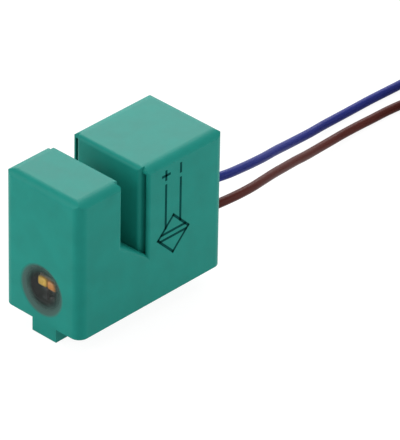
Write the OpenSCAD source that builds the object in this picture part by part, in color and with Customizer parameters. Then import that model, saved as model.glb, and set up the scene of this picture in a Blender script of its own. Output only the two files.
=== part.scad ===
// Fork sensor: a one-piece moulded fork with a coil in each arm, a folded circuit board, a clear
// window for the status lamp, a base cover with a locating lug and a threaded insert, and two leads.
// +X runs from the window face to the lead face, +Z runs up the arms, and the origin is the middle
// of the base, at the mouth of the fixing thread.

/* [Housing] */
// Length from the window face to the lead face
body_l = 24.5; // [23.5:0.1:30]
// Width across the arms, along the slot's run
body_w = 12.7; // [12.2:0.1:16]
// Height from the base rim to the arms' tops
body_h = 19; // [18.5:0.1:24]
// Length of the front arm, from the window face to the slot
front_arm_l = 7.55; // [7:0.05:8]
// Wall thickness of the moulding
wall = 1; // [0.8:0.05:1.1]
// Wall between each coil and the slot
sensing_wall = 0.6; // [0.4:0.05:0.9]
// Radius of the upright edges
edge_r = 1.3; // [1.1:0.05:1.4]
// Radius of the top edge over the window face
front_top_r = 1; // [0.7:0.05:1.1]
// Radius of the top edge over the lead face
back_top_r = 1; // [0.7:0.05:1.1]
// Radius of the top edges over the slot
slot_top_r = 0.6; // [0.4:0.05:0.7]
// Radius of the top edges along the sides
side_top_r = 1.8; // [1.6:0.05:1.9]
// How far the flat sides cut into those edges, which leaves a crease
side_cut = 0.35; // [0.25:0.05:0.45]

/* [Slot] */
// Clear width of the slot
slot_w = 3.5; // [3:0.1:4.5]
// Depth of the slot at the front arm
slot_depth_front = 9; // [8:0.1:10]
// Depth of the slot at the rear block, where its sloping floor ends
slot_depth_rear = 11.6; // [10.5:0.1:12.5]
// Thickness of the flange at each side of a slot face
flange_t = 0.45; // [0.35:0.05:0.5]
// How far the flanges stand back from a slot face
flange_back = 0.5; // [0.3:0.05:0.6]
// Radius of a flange's outer edge
flange_r = 0.4; // [0.2:0.05:0.45]
// Width of the groove between a flange and its slot face
groove_w = 0.65; // [0.4:0.05:0.7]
// Depth of those grooves below a slot face
groove_depth = 1.2; // [0.8:0.05:1.4]
// Height of the roof over those grooves, below the arms' tops
groove_roof = 0.8; // [0.7:0.05:1.2]
// Wall between those grooves and the room inside
groove_wall = 0.6; // [0.4:0.05:0.6]
// Radius of a slot face's upright edges
pad_r = 0.5; // [0.2:0.05:0.6]
// Radius of the slot floor's side edges
floor_r = 0.8; // [0.4:0.05:1]
// How far the flat sides cut into the slot floor's rounded side edges
floor_cut = 0.05; // [0.02:0.01:0.1]

/* [Window] */
// Diameter of the round window
window_d = 7.2; // [6:0.1:7.8]
// Height of the window's lowest point above the base cover
window_sill = 0.05; // [0.02:0.01:0.5]
// Depth of clear resin between the window face and the circuit board
window_depth = 2.4; // [2:0.1:2.8]
// Step of the resin below the window face
window_recess = 0.1; // [0.05:0.05:0.3]

/* [Base] */
// Thickness of the base cover
cover_t = 0.8; // [0.6:0.05:0.8]
// Thickness of the housing's rim round the base cover
cover_rim = 0.4; // [0.3:0.05:0.6]
// Clearance between the base cover and the rim
cover_gap = 0.05; // [0.02:0.01:0.1]
// Width of the locating lug
lug_w = 4; // [2:0.1:6]
// Length of the locating lug
lug_l = 2; // [1:0.1:4]
// Height of the locating lug below the base
lug_h = 2.3; // [1:0.1:4]

/* [Fixing] */
// Minor diameter of the fixing thread
thread_d = 2.5; // [2:0.1:3]
// Room between the closed end of the threaded insert and the bridge over it
insert_room = 1; // [0.2:0.05:2]
// Outer diameter of the threaded insert
insert_d = 4; // [3.6:0.1:4.2]
// Closed end of the threaded insert
insert_end = 0.6; // [0.4:0.05:0.6]
// Width and depth of the insert's retaining groove
insert_groove = 0.3; // [0.1:0.05:0.3]
// Wall of the boss round the insert
boss_wall = 0.8; // [0.6:0.05:0.9]

/* [Coils] */
// Depth of the coils' axis below the arms' tops
coil_depth = 5; // [4.9:0.05:5.2]
// Diameter of a pot core
core_d = 7.3; // [6.8:0.05:7.5]
// Height of a pot core
core_h = 2.1; // [1.8:0.05:2.4]
// Floor of a pot core
core_floor = 0.7; // [0.5:0.05:0.8]
// Rim of a pot core
core_rim = 0.75; // [0.6:0.05:0.8]
// Diameter of a pot core's post
core_post_d = 3; // [2.6:0.1:3.2]
// Diameter of the hole through the post
core_hole_d = 1.4; // [0.8:0.1:1.6]
// Width of the wire slots in a core's rim
core_slot_w = 1.2; // [0.8:0.1:1.6]
// Wall of a coil former
former_wall = 0.25; // [0.15:0.05:0.25]
// Clearance of a coil former in its core
former_gap = 0.05; // [0.02:0.01:0.1]
// Diameter of the coil wire
coil_wire_d = 0.25; // [0.15:0.05:0.4]
// Distance of the coil wires from the middle
coil_wire_y = 4.2; // [4:0.05:4.3]

/* [Circuit] */
// Thickness of the folded circuit board
board_t = 0.3; // [0.2:0.05:0.4]
// Width of the circuit board
board_w = 9; // [8.8:0.1:9.4]
// Height of the board's flat leg above the base
board_z = 1.2; // [1:0.05:1.3]
// Inner radius of the board's fold
fold_r = 0.3; // [0.2:0.05:0.4]
// Height of the board's upright leg above the window
board_top_margin = 0.4; // [0.2:0.05:0.6]
// Room behind the board's rear end
board_end_gap = 1; // [0.5:0.1:1.5]
// Clearance round the boss, in the board
boss_gap = 0.1; // [0.05:0.05:0.2]
// Length, width and height of the status lamp
led_size = [3.2, 1.4, 1.1]; // [0.8:0.1:3.4]
// Height of the status lamp's middle above the window's middle
led_rise = 0.5; // [0:0.05:0.9]
// Length, width and height of the oscillator chip
chip_size = [3.9, 4.9, 1.2]; // [1:0.1:5]
// Length, width and height of the output transistor
transistor_size = [1.3, 2.9, 1]; // [0.8:0.1:3]
// Length, width and height of the protection diode
diode_size = [1.6, 2.7, 1.1]; // [0.8:0.1:3]
// Length, width and height of each capacitor
capacitor_size = [1.25, 2, 0.85]; // [0.5:0.05:2.2]
// Length, width and height of each resistor
resistor_size = [1.6, 0.8, 0.45]; // [0.3:0.05:1.8]
// Room between the transistor and diode and the capacitors behind them
small_gap = 1; // [0.5:0.05:1.2]
// Room between the capacitors and the solder joints behind them
capacitor_gap = 0.9; // [0.4:0.05:1.2]
// Distance between the two capacitors' middles
capacitor_pitch = 2.5; // [2.2:0.1:3]
// Margin of the transistor and diode from the board's edges
board_margin = 0.1; // [0.05:0.05:0.2]
// Room between the chip and the resistors beside it
resistor_gap = 0.7; // [0.3:0.05:0.7]
// Shift of each resistor beside the chip, along the length
resistor_shift = 1; // [0.5:0.1:1.2]
// Distance of the solder joints from the board's rear end
joint_inset = 1.3; // [1:0.1:1.5]

/* [Leads] */
// Diameter of each lead over its insulation
lead_d = 1.2; // [1:0.05:1.4]
// Clearance of a lead in its hole
lead_gap = 0.05; // [0.02:0.01:0.1]
// Distance between the two leads where they leave
lead_pitch = 4.8; // [4:0.1:6]
// Height of the leads above the base where they leave
lead_z = 5.5; // [4:0.1:7]
// Diameter of a lead's conductor
conductor_d = 0.5; // [0.4:0.05:0.6]
// Straight run of each conductor inside the lead face
conductor_run = 0.6; // [0.4:0.05:0.8]
// Base diameter of a solder joint
joint_d = 1.4; // [1:0.1:1.8]
// Height of a solder joint
joint_h = 0.8; // [0.5:0.05:1]
// Length of the bare strands at a lead's far end
strand_l = 6; // [4:0.5:10]
// Turns side by side in a stored coil
coil_columns = 4; // [3:1:5]
// Turns on each other in a stored coil
coil_rows = 3; // [2:1:4]
// Diameter of a stored coil at the middle of its turns
coil_mid_d = 13.2; // [12:0.1:14.4]
// Thickness of a tie round a coil
tie_t = 0.3; // [0.2:0.05:0.5]
// Width of a tie
tie_w = 2; // [1.5:0.1:3]

/* [Hidden] */
$fn = 96;
// Overshoot of a cut past the face that it opens
cut = 1;

// Planes of the housing
x_front = -body_l / 2;
x_back = body_l / 2;
x_slot_front = x_front + front_arm_l;
x_slot_rear = x_slot_front + slot_w;
z_floor_front = body_h - slot_depth_front;
z_floor_rear = body_h - slot_depth_rear;
floor_slope = (z_floor_front - z_floor_rear) / slot_w;
pad_w = body_w - 2 * (flange_t + groove_w);
bridge_ceiling = z_floor_rear - wall;

// Planes of the parts inside
z_coil = body_h - coil_depth;
x_front_core = x_slot_front - sensing_wall;
x_rear_core = x_slot_rear + sensing_wall;
core_r = core_d / 2;
bobbin_r = core_r - core_rim - former_gap;
bobbin_l = core_h - core_floor - former_gap;
bobbin_bore_r = core_post_d / 2 + former_gap;
x_board = x_front + window_depth;
x_board_end = x_back - wall - board_end_gap;
z_board_top = board_z + board_t;
window_z = cover_t + window_sill + window_d / 2;
z_board_end = window_z + window_d / 2 + board_top_margin;
boss_d = insert_d + 2 * boss_wall;
insert_l = bridge_ceiling - insert_room;
thread_depth = insert_l - insert_end;

// Places of the small parts on the board's flat leg
x_chip = (x_board + board_t + fold_r - boss_d / 2 - boss_gap) / 2;
x_joint = x_board_end - joint_inset;
x_capacitors = x_joint - (joint_d + capacitor_size.x) / 2 - capacitor_gap;
x_small = x_capacitors - (capacitor_size.x + diode_size.x) / 2 - small_gap;
y_transistor = board_w / 2 - board_margin - transistor_size.y / 2;
y_diode = board_w / 2 - board_margin - diode_size.y / 2;
y_resistor = (chip_size.y + resistor_size.y) / 2 + resistor_gap;
// Places of the resistors on the board's upright leg, as [y, z] from the window's middle
upright_resistors = [[0.7, -1.25], [-0.6, -2.25]];

// Lead routes, from inside the lead face to the stored coils
z_rest = -lug_h;
blue_route = [
    [11.25, 2.4, 5.5], [13.5, 2.4, 5.5], [16, 2.3, 5.4], [19, 2.2, 5.1], [22, 2.2, 4.6],
    [25, 2.7, 3.9], [28, 3.4, 3.1], [31, 4.3, 2.2], [34, 5.3, 1.3], [37, 6.2, 0.4],
    [40, 7, -0.4], [43, 7.6, -1], [46, 8.1, -1.4], [49, 8.3, -1.6], [52, 8.4, -1.7],
    [55, 8.4, -1.7], [58, 8.3, -1.7], [61, 8.2, -1.7], [64, 8.2, -1.7], [67, 8.1, -1.7],
    [70, 8.1, -1.7], [73, 8, -1.7], [76, 8, -1.7], [79, 8, -1.7], [82, 8, -1.7], [85, 8, -1.7]
];
brown_route = [
    [11.25, -2.4, 5.5], [13.5, -2.4, 5.5], [16, -2.6, 5.4], [19, -2.5, 5.1], [22, -2, 4.6],
    [25, -1.1, 3.9], [28, -0.1, 3.1], [31, 0.9, 2.2], [34, 1.9, 1.3], [37, 2.8, 0.4],
    [40, 3.7, -0.4], [43, 4.4, -1], [46, 4.9, -1.4], [49, 5.1, -1.6], [52, 5.1, -1.7],
    [55, 5, -1.7], [58, 4.7, -1.7], [60.5, 4.3, -1.7], [63, 4.1, -1.7], [66, 4.1, -1.7]
];
// Stored coils, which the routes enter along +X as their outermost turn
coil_mid_r = coil_mid_d / 2;
coil_band = coil_columns * lead_d;
coil_h = coil_rows * lead_d;
coil_outer_r = coil_mid_r + coil_band / 2;
coil_last_r = coil_mid_r - coil_band / 2 + lead_d / 2;
function last(list) = list[len(list) - 1];
function coil_centre(route) = [last(route).x, last(route).y - coil_outer_r + lead_d / 2];
blue_centre = coil_centre(blue_route);
brown_centre = coil_centre(brown_route);
// Where each lead's insulation ends, on the innermost turn of its coil's top row
coil_end_angle = -40;
strand_arc = strand_l / coil_last_r * 180 / PI;
strand_room = 5;

// Colours as the object shows them
green = "#2E8C7D";
resin = "#33413D";
ferrite = "#3A3A3C";
copper = "#B5703A";
tin = "#C4C6C8";
ivory = "#DDD6C2";

// Flat outline with four equal rounded corners, centred
module rounded_rect(l, w, r) {
    square([l - 2 * r, w], center = true);
    square([l, w - 2 * r], center = true);
    for (x = [-1, 1], y = [-1, 1])
        translate([x * (l / 2 - r), y * (w / 2 - r)]) circle(r);
}

// Upright block between two X planes and two Z planes, as wide as w
module span_block(x0, x1, w, z0, z1) {
    translate([x0, -w / 2, z0]) cube([x1 - x0, w, z1 - z0]);
}

// Side view of an arm from x = -l to x_end, with a top edge of radius end_r over its outer end
module side_view(l, x_end, end_r) {
    rotate([90, 0, 0]) linear_extrude(body_w, center = true) {
        translate([end_r - l, 0]) square([l + x_end - end_r - slot_top_r, body_h]);
        translate([-l, 0]) square([2 * end_r, body_h - end_r]);
        translate([x_end - 2 * slot_top_r, 0]) square([2 * slot_top_r, body_h - slot_top_r]);
        translate([end_r - l, body_h - end_r]) circle(end_r);
        translate([x_end - slot_top_r, body_h - slot_top_r]) circle(slot_top_r);
    }
}

// End view of an arm from x = -l to x = 0, with creased top edges along its sides
module end_view(l) {
    translate([-l, 0, 0]) rotate([90, 0, 90]) linear_extrude(l) intersection() {
        translate([-body_w / 2, 0]) square([body_w, body_h]);
        rounded_rect(body_w + 2 * side_cut, 2 * body_h, side_top_r);
    }
}

// Plan of an arm from its upright edges at x = -l to its flanges
module arm_plan(l) {
    translate([edge_r - l, -body_w / 2]) square([l - flange_back - edge_r - flange_r, body_w]);
    translate([-l, edge_r - body_w / 2]) square([l - flange_back - flange_r, body_w - 2 * edge_r]);
    translate([-l / 2, flange_r - body_w / 2]) square([l / 2 - flange_back, body_w - 2 * flange_r]);
    for (y = [-1, 1]) {
        translate([edge_r - l, y * (body_w / 2 - edge_r)]) circle(edge_r);
        translate([-flange_back - flange_r, y * (body_w / 2 - flange_r)]) circle(flange_r);
    }
}

// Plan of the pad in the middle of a slot face, from x = -l to the slot face
module pad_plan(l) {
    translate([-l, 0]) rounded_rect(2 * l, pad_w, pad_r);
}

// Arm from x = -l to its slot face at x = 0, with a groove at each side of the slot face
module arm(l, end_r) {
    intersection() {
        end_view(l);
        union() {
            difference() {
                intersection() {
                    linear_extrude(body_h) arm_plan(l);
                    side_view(l, -flange_back, end_r);
                }
                span_block(-groove_depth, cut, pad_w + 2 * groove_w, -cut, body_h - groove_roof);
            }
            intersection() {
                linear_extrude(body_h) pad_plan(l / 2);
                side_view(l, 0, end_r);
            }
        }
    }
}

// Sloping floor of the slot, carried on past the grooves into both arms
module slot_floor() {
    tilt = atan(floor_slope);
    reach = groove_depth + cut / 2;
    start = (groove_depth + cut) / cos(tilt);
    run = slot_w / cos(tilt) + 2 * start;
    intersection() {
        span_block(x_slot_front - reach, x_slot_rear + reach, body_w, z_floor_rear / 2, body_h - cut);
        translate([x_slot_front, 0, z_floor_front]) rotate([0, tilt, 0]) translate([-start, 0, -body_h])
            rotate([90, 0, 90]) linear_extrude(run)
                rounded_rect(body_w + 2 * floor_cut, 2 * body_h, floor_r);
    }
}

// Solid fork, before it is hollowed
module fork_solid() {
    z_bridge = z_floor_rear - floor_slope * flange_back - floor_r * norm([1, floor_slope]);
    linear_extrude(z_bridge) rounded_rect(body_l, body_w, edge_r);
    translate([x_slot_front, 0, 0]) arm(front_arm_l, front_top_r);
    translate([x_slot_rear, 0, 0]) rotate([0, 0, 180]) arm(x_back - x_slot_rear, back_top_r);
    slot_floor();
}

// Room inside the fork, above the base cover
module cavity() {
    inner_w = body_w - 2 * wall;
    core_w = pad_w - 2 * groove_wall;
    x_narrow = groove_depth + groove_wall;
    span_block(x_front + wall, x_slot_front - x_narrow, inner_w, cover_t, body_h - wall);
    span_block(x_front + wall, x_front_core, core_w, cover_t, body_h - wall);
    span_block(x_slot_rear + x_narrow, x_back - wall, inner_w, cover_t, body_h - wall);
    span_block(x_rear_core, x_back - wall, core_w, cover_t, body_h - wall);
    span_block(x_front + wall, x_back - wall, core_w, cover_t, bridge_ceiling);
}

// Outline of the base cover, smaller all round by gap
module cover_outline(gap) {
    inset = 2 * (cover_rim + gap);
    rounded_rect(body_l - inset, body_w - inset, edge_r - cover_rim - gap);
}

// Round hole or plug along X at the window
module window_bore(x0, x1) {
    translate([x0, 0, window_z]) rotate([0, 90, 0]) cylinder(h = x1 - x0, d = window_d);
}

// Copies of what follows at the two leads' places across the width
module at_leads() {
    for (side = [-1, 1]) translate([0, side * lead_pitch / 2, 0]) children();
}

// Round rod along X at the leads' height
module lead_rod(x0, x1, d) {
    at_leads() translate([x0, 0, lead_z]) rotate([0, 90, 0]) cylinder(h = x1 - x0, d = d);
}

module housing() {
    color(green) difference() {
        fork_solid();
        cavity();
        translate([0, 0, -cut]) linear_extrude(cover_t + cut) cover_outline(0);
        window_bore(x_front - cut, x_front + wall + cut);
        lead_rod(x_back - wall - cut, x_back + cut, lead_d + 2 * lead_gap);
    }
}

module base_cover() {
    color(green) difference() {
        union() {
            linear_extrude(cover_t) cover_outline(cover_gap);
            cylinder(h = insert_l, d = boss_d);
            span_block(x_front + cover_rim + cover_gap, x_front + cover_rim + cover_gap + lug_l,
                lug_w, -lug_h, cover_t);
        }
        translate([0, 0, -cut]) cylinder(h = insert_l + 2 * cut, d = insert_d);
    }
}

module threaded_insert() {
    color("#C9A44C") difference() {
        cylinder(h = insert_l, d = insert_d);
        translate([0, 0, -cut]) cylinder(h = thread_depth + cut, d = thread_d);
        translate([0, 0, (insert_l - insert_groove) / 2]) difference() {
            cylinder(h = insert_groove, d = insert_d + cut);
            cylinder(h = insert_groove, d = insert_d - 2 * insert_groove);
        }
    }
}

module window_lens() {
    color("#6E7B78", 0.5) difference() {
        window_bore(x_front + window_recess, x_board);
        lamp_body();
        upright_resistor_bodies();
    }
}

// What the potting compound flows round
module potted_parts() {
    window_bore(x_front, x_board);
    cylinder(h = insert_l, d = boss_d);
    board_sheet();
    core_envelope(x_front_core, -1);
    core_envelope(x_rear_core, 1);
    coil_wire_pair(x_front_core - bobbin_l / 2);
    coil_wire_pair(x_rear_core + bobbin_l / 2);
    chip_body();
    transistor_body();
    diode_body();
    capacitor_bodies();
    flat_resistor_bodies();
    conductor_pair();
    joint_pair();
}

module potting() {
    color(resin) difference() {
        cavity();
        potted_parts();
    }
}

// Revolved part of a coil, on the coil axis, opening towards the slot
module on_coil_axis(x, side) {
    translate([x, 0, z_coil]) rotate([0, side * 90, 0]) children();
}

// Full outline of a core and what it holds
module core_envelope(x, side) {
    on_coil_axis(x, side) cylinder(h = core_h, r = core_r);
}

module pot_core(x, side) {
    groove_depth = core_h - core_floor;
    on_coil_axis(x, side) difference() {
        cylinder(h = core_h, r = core_r);
        translate([0, 0, -cut]) difference() {
            cylinder(h = groove_depth + cut, r = core_r - core_rim);
            cylinder(h = groove_depth + cut, d = core_post_d);
        }
        translate([0, 0, -cut]) cylinder(h = core_h + 2 * cut, d = core_hole_d);
        for (y = [-1, 1])
            translate([-core_slot_w / 2, y * core_r - core_rim - cut / 2, -cut])
                cube([core_slot_w, 2 * core_rim + cut, groove_depth + cut]);
    }
}

module coil_former(x, side) {
    on_coil_axis(x, side) difference() {
        cylinder(h = bobbin_l, r = bobbin_r);
        translate([0, 0, -cut]) cylinder(h = bobbin_l + 2 * cut, r = bobbin_bore_r);
        winding_ring();
    }
}

// Wound copper in the former's channel
module winding_ring() {
    translate([0, 0, former_wall]) difference() {
        cylinder(h = bobbin_l - 2 * former_wall, r = bobbin_r);
        translate([0, 0, -cut]) cylinder(h = bobbin_l + 2 * cut, r = bobbin_bore_r + former_wall);
    }
}

// Two wires that leave a coil through its core's slots and run down to the board
module coil_wire_pair(x) {
    for (side = [-1, 1]) {
        translate([x, side * (core_r + coil_wire_y) / 2, z_coil]) rotate([90, 0, 0])
            cylinder(h = coil_wire_y - core_r, d = coil_wire_d, center = true);
        translate([x, side * coil_wire_y, z_coil]) sphere(d = coil_wire_d);
        translate([x, side * coil_wire_y, z_board_top]) cylinder(h = z_coil - z_board_top, d = coil_wire_d);
    }
}

module front_core() { color(ferrite) pot_core(x_front_core, -1); }
module rear_core() { color(ferrite) pot_core(x_rear_core, 1); }
module front_former() { color(ivory) coil_former(x_front_core, -1); }
module rear_former() { color(ivory) coil_former(x_rear_core, 1); }
module front_winding() { color(copper) on_coil_axis(x_front_core, -1) winding_ring(); }
module rear_winding() { color(copper) on_coil_axis(x_rear_core, 1) winding_ring(); }
module front_coil_wires() { color(copper) coil_wire_pair(x_front_core - bobbin_l / 2); }
module rear_coil_wires() { color(copper) coil_wire_pair(x_rear_core + bobbin_l / 2); }

// Folded board without its hole for the boss: an upright leg, a fold and a flat leg
module board_sheet() {
    outer_r = fold_r + board_t;
    rotate([90, 0, 0]) linear_extrude(board_w, center = true) {
        translate([x_board, board_z + outer_r]) square([board_t, z_board_end - board_z - outer_r]);
        translate([x_board + outer_r, board_z]) square([x_board_end - x_board - outer_r, board_t]);
        translate([x_board + outer_r, board_z + outer_r]) intersection() {
            difference() {
                circle(outer_r);
                circle(fold_r);
            }
            translate([-outer_r, -outer_r]) square(outer_r);
        }
    }
}

module circuit_board() {
    color("#3A423F") difference() {
        board_sheet();
        cylinder(h = z_board_top + cut, d = boss_d + 2 * boss_gap);
    }
}

// Small part of a given size, standing on the board's flat leg
module on_flat_leg(x, y, size) {
    translate([x - size.x / 2, y - size.y / 2, z_board_top]) cube(size);
}

// Small part of a given size, standing on the board's upright leg and facing the window
module on_upright_leg(y, z, size) {
    translate([x_board - size.z, y - size.x / 2, z - size.y / 2]) cube([size.z, size.x, size.y]);
}

module lamp_body() { on_upright_leg(0, window_z + led_rise, led_size); }
module chip_body() { on_flat_leg(x_chip, 0, chip_size); }
module transistor_body() { on_flat_leg(x_small, y_transistor, transistor_size); }
module diode_body() { on_flat_leg(x_small, -y_diode, diode_size); }

module capacitor_bodies() {
    for (side = [-1, 1]) on_flat_leg(x_capacitors, side * capacitor_pitch / 2, capacitor_size);
}

module upright_resistor_bodies() {
    for (place = upright_resistors) on_upright_leg(place[0], window_z + place[1], resistor_size);
}

module flat_resistor_bodies() {
    for (side = [-1, 1]) on_flat_leg(x_chip + side * resistor_shift, side * y_resistor, resistor_size);
}

module status_led() { color("#E8A628") lamp_body(); }
module oscillator_chip() { color("#232325") chip_body(); }
module output_transistor() { color("#232325") transistor_body(); }
module protection_diode() { color("#232325") diode_body(); }
module capacitors() { color("#9A7B55") capacitor_bodies(); }

module resistors() {
    color("#26282B") {
        upright_resistor_bodies();
        flat_resistor_bodies();
    }
}

// Two conductors, from the ends of the leads down to the board
module conductor_pair() {
    x_bend = x_back - wall - conductor_run;
    fall = lead_z - z_board_top;
    reach = x_bend - x_joint;
    lead_rod(x_bend, x_back - wall, conductor_d);
    at_leads() translate([x_bend, 0, lead_z]) {
        sphere(d = conductor_d);
        rotate([0, 180 + atan2(reach, fall), 0])
            cylinder(h = norm([fall, reach]) - conductor_d, d = conductor_d);
    }
}

// Two solder joints, round the conductors' ends
module joint_pair() {
    at_leads() translate([x_joint, 0, z_board_top]) cylinder(h = joint_h, d1 = joint_d, d2 = conductor_d);
}

module lead_conductors() { color(tin) conductor_pair(); }

module solder_joints() {
    color(tin) difference() {
        joint_pair();
        conductor_pair();
    }
}

// Direction of a route at one of its points
function heading(route, i) =
    let (run = route[min(i + 1, len(route) - 1)] - route[max(i - 1, 0)]) run / norm(run);

// Ring of points round a route at one of its points
function route_ring(route, i, d, sides) =
    let (ahead = heading(route, i), level = cross([0, 0, 1], ahead), across = level / norm(level))
    let (up = cross(ahead, across))
    [for (k = [0:sides - 1]) route[i] + d / 2 * (cos(360 * k / sides) * across + sin(360 * k / sides) * up)];

// Cord swept along a route
module swept_cord(route, d, sides = 8) {
    rings = len(route);
    sleeve = [for (i = [0:rings - 2], k = [0:sides - 1])
        [i * sides + k, (i + 1) * sides + k, (i + 1) * sides + (k + 1) % sides, i * sides + (k + 1) % sides]];
    polyhedron(
        points = [for (i = [0:rings - 1]) each route_ring(route, i, d, sides)],
        faces = concat(
            [[for (k = [0:sides - 1]) k]],
            sleeve,
            [[for (k = [sides - 1:-1:0]) (rings - 1) * sides + k]]
        )
    );
}

// Tie round a coil, at the side nearest the sensor
module tie(centre) {
    band = coil_band + 2 * tie_t;
    translate([centre.x - coil_mid_r, centre.y, z_rest]) difference() {
        translate([-band / 2, -tie_w / 2, 0]) cube([band, tie_w, coil_h + tie_t]);
        translate([-coil_band / 2, -tie_w / 2 - cut, tie_t])
            cube([coil_band, tie_w + 2 * cut, coil_h - tie_t]);
    }
}

// Section turned along the innermost turn of a coil's top row, on from the end of its lead
module past_lead_end(centre, arc) {
    translate([centre.x, centre.y, z_rest + coil_h - lead_d / 2]) rotate([0, 0, coil_end_angle - arc])
        rotate_extrude(angle = arc) translate([coil_last_r, 0]) children();
}

// Outer shape of a stored coil, open where its lead comes in and where its strands lie
module stored_coil(centre) {
    difference() {
        translate([centre.x, centre.y, z_rest]) rotate_extrude()
            translate([coil_mid_r, coil_h / 2]) rounded_rect(coil_band, coil_h, lead_d / 2);
        translate([centre.x - coil_outer_r, centre.y + coil_outer_r - lead_d - lead_gap, z_rest - cut])
            cube([coil_outer_r, lead_d + lead_gap + cut, lead_d + lead_gap + cut]);
        past_lead_end(centre, strand_arc + strand_room) translate([-lead_d / 2 - cut, -lead_d / 2])
            square(lead_d + cut);
        tie(centre);
    }
}

// Bare strands where a lead ends
module strands(centre) {
    past_lead_end(centre, strand_arc) circle(d = conductor_d);
}

module blue_lead() { color("#26348C") swept_cord(blue_route, lead_d); }
module brown_lead() { color("#6A3026") swept_cord(brown_route, lead_d); }
module blue_coil() { color("#26348C") stored_coil(blue_centre); }
module brown_coil() { color("#6A3026") stored_coil(brown_centre); }
module blue_tie() { color("#D8D8D4") tie(blue_centre); }
module brown_tie() { color("#D8D8D4") tie(brown_centre); }
module blue_strands() { color(tin) strands(blue_centre); }
module brown_strands() { color(tin) strands(brown_centre); }

housing();
base_cover();
threaded_insert();
window_lens();
potting();
front_core();
rear_core();
front_former();
rear_former();
front_winding();
rear_winding();
front_coil_wires();
rear_coil_wires();
circuit_board();
status_led();
oscillator_chip();
output_transistor();
protection_diode();
capacitors();
resistors();
lead_conductors();
solder_joints();
blue_lead();
brown_lead();
blue_coil();
brown_coil();
blue_tie();
brown_tie();
blue_strands();
brown_strands();
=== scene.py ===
"""Looks of a fork sensor, dressed round its packed construction model."""

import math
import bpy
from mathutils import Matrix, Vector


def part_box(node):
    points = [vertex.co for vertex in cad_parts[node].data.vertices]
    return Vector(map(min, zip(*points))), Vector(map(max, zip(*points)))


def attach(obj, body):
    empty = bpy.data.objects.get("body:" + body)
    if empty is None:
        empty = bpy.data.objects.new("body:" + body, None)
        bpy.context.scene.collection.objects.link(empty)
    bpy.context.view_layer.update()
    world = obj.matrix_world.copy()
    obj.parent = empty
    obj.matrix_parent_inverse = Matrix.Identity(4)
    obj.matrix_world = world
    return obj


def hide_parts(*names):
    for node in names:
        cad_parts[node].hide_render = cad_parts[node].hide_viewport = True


bl_info = {
    "name": "Fork Sensor",
    "version": (1, 0, 0),
    "blender": (4, 5, 0),
    "location": "3D View > Sidebar > Fork Sensor",
    "description": "Finishes, window, leads and stage of a small fork sensor",
    "category": "Object",
}

import bmesh
import bpy
from bpy.props import (
    FloatProperty,
    FloatVectorProperty,
    IntProperty,
    PointerProperty,
)
from mathutils import Matrix, Vector

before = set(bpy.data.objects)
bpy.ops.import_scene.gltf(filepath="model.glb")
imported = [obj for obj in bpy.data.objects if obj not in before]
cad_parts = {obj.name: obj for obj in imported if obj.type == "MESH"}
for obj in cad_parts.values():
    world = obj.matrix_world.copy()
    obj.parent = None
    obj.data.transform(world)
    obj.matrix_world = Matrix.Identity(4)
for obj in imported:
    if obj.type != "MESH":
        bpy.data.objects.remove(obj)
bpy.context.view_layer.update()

MM = 0.001
HOUSING_LOW, HOUSING_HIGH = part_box("housing")
FLOOR_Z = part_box("base_cover")[0].z
LENS_LOW, LENS_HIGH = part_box("window_lens")
LAMP_LOW, LAMP_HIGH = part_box("status_led")
INSERT_LOW, INSERT_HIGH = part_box("threaded_insert")
TIE_LOW, TIE_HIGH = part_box("blue_tie")

# Lead routes from inside the lead face to the stored coils, in millimetres
BLUE_ROUTE = [
    (11.25, 2.4, 5.5), (13.5, 2.4, 5.5), (16, 2.3, 5.4), (19, 2.2, 5.1), (22, 2.2, 4.6),
    (25, 2.7, 3.9), (28, 3.4, 3.1), (31, 4.3, 2.2), (34, 5.3, 1.3), (37, 6.2, 0.4),
    (40, 7, -0.4), (43, 7.6, -1), (46, 8.1, -1.4), (49, 8.3, -1.6), (52, 8.4, -1.7),
    (55, 8.4, -1.7), (58, 8.3, -1.7), (61, 8.2, -1.7), (64, 8.2, -1.7), (67, 8.1, -1.7),
    (70, 8.1, -1.7), (73, 8, -1.7), (76, 8, -1.7), (79, 8, -1.7), (82, 8, -1.7), (85, 8, -1.7),
]
BROWN_ROUTE = [
    (11.25, -2.4, 5.5), (13.5, -2.4, 5.5), (16, -2.6, 5.4), (19, -2.5, 5.1), (22, -2, 4.6),
    (25, -1.1, 3.9), (28, -0.1, 3.1), (31, 0.9, 2.2), (34, 1.9, 1.3), (37, 2.8, 0.4),
    (40, 3.7, -0.4), (43, 4.4, -1), (46, 4.9, -1.4), (49, 5.1, -1.6), (52, 5.1, -1.7),
    (55, 5, -1.7), (58, 4.7, -1.7), (60.5, 4.3, -1.7), (63, 4.1, -1.7), (66, 4.1, -1.7),
]


# Settings that a user would change

class CameraSettings(bpy.types.PropertyGroup):
    """Where the picture is taken from."""

    azimuth: FloatProperty(
        name="Azimuth", description="Turn of the camera round the sensor",
        default=math.radians(-45.59), subtype="ANGLE")
    elevation: FloatProperty(
        name="Elevation", description="Rise of the camera above the floor",
        default=math.radians(32.74), subtype="ANGLE")
    roll: FloatProperty(
        name="Roll", description="Tilt of the camera about its own line of sight",
        default=math.radians(1.09), subtype="ANGLE")
    distance: FloatProperty(
        name="Distance", description="Distance of the camera from the housing's middle",
        default=0.62, unit="LENGTH")
    lens: FloatProperty(
        name="Focal length", description="Focal length in millimetres on a 36 mm sensor", default=424.3)
    aim_right: FloatProperty(
        name="Aim right", description="How far to the right of the housing's middle the camera aims",
        default=10.23 * MM, unit="LENGTH")
    aim_down: FloatProperty(
        name="Aim down", description="How far below the housing's middle the camera aims",
        default=0.65 * MM, unit="LENGTH")


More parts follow.
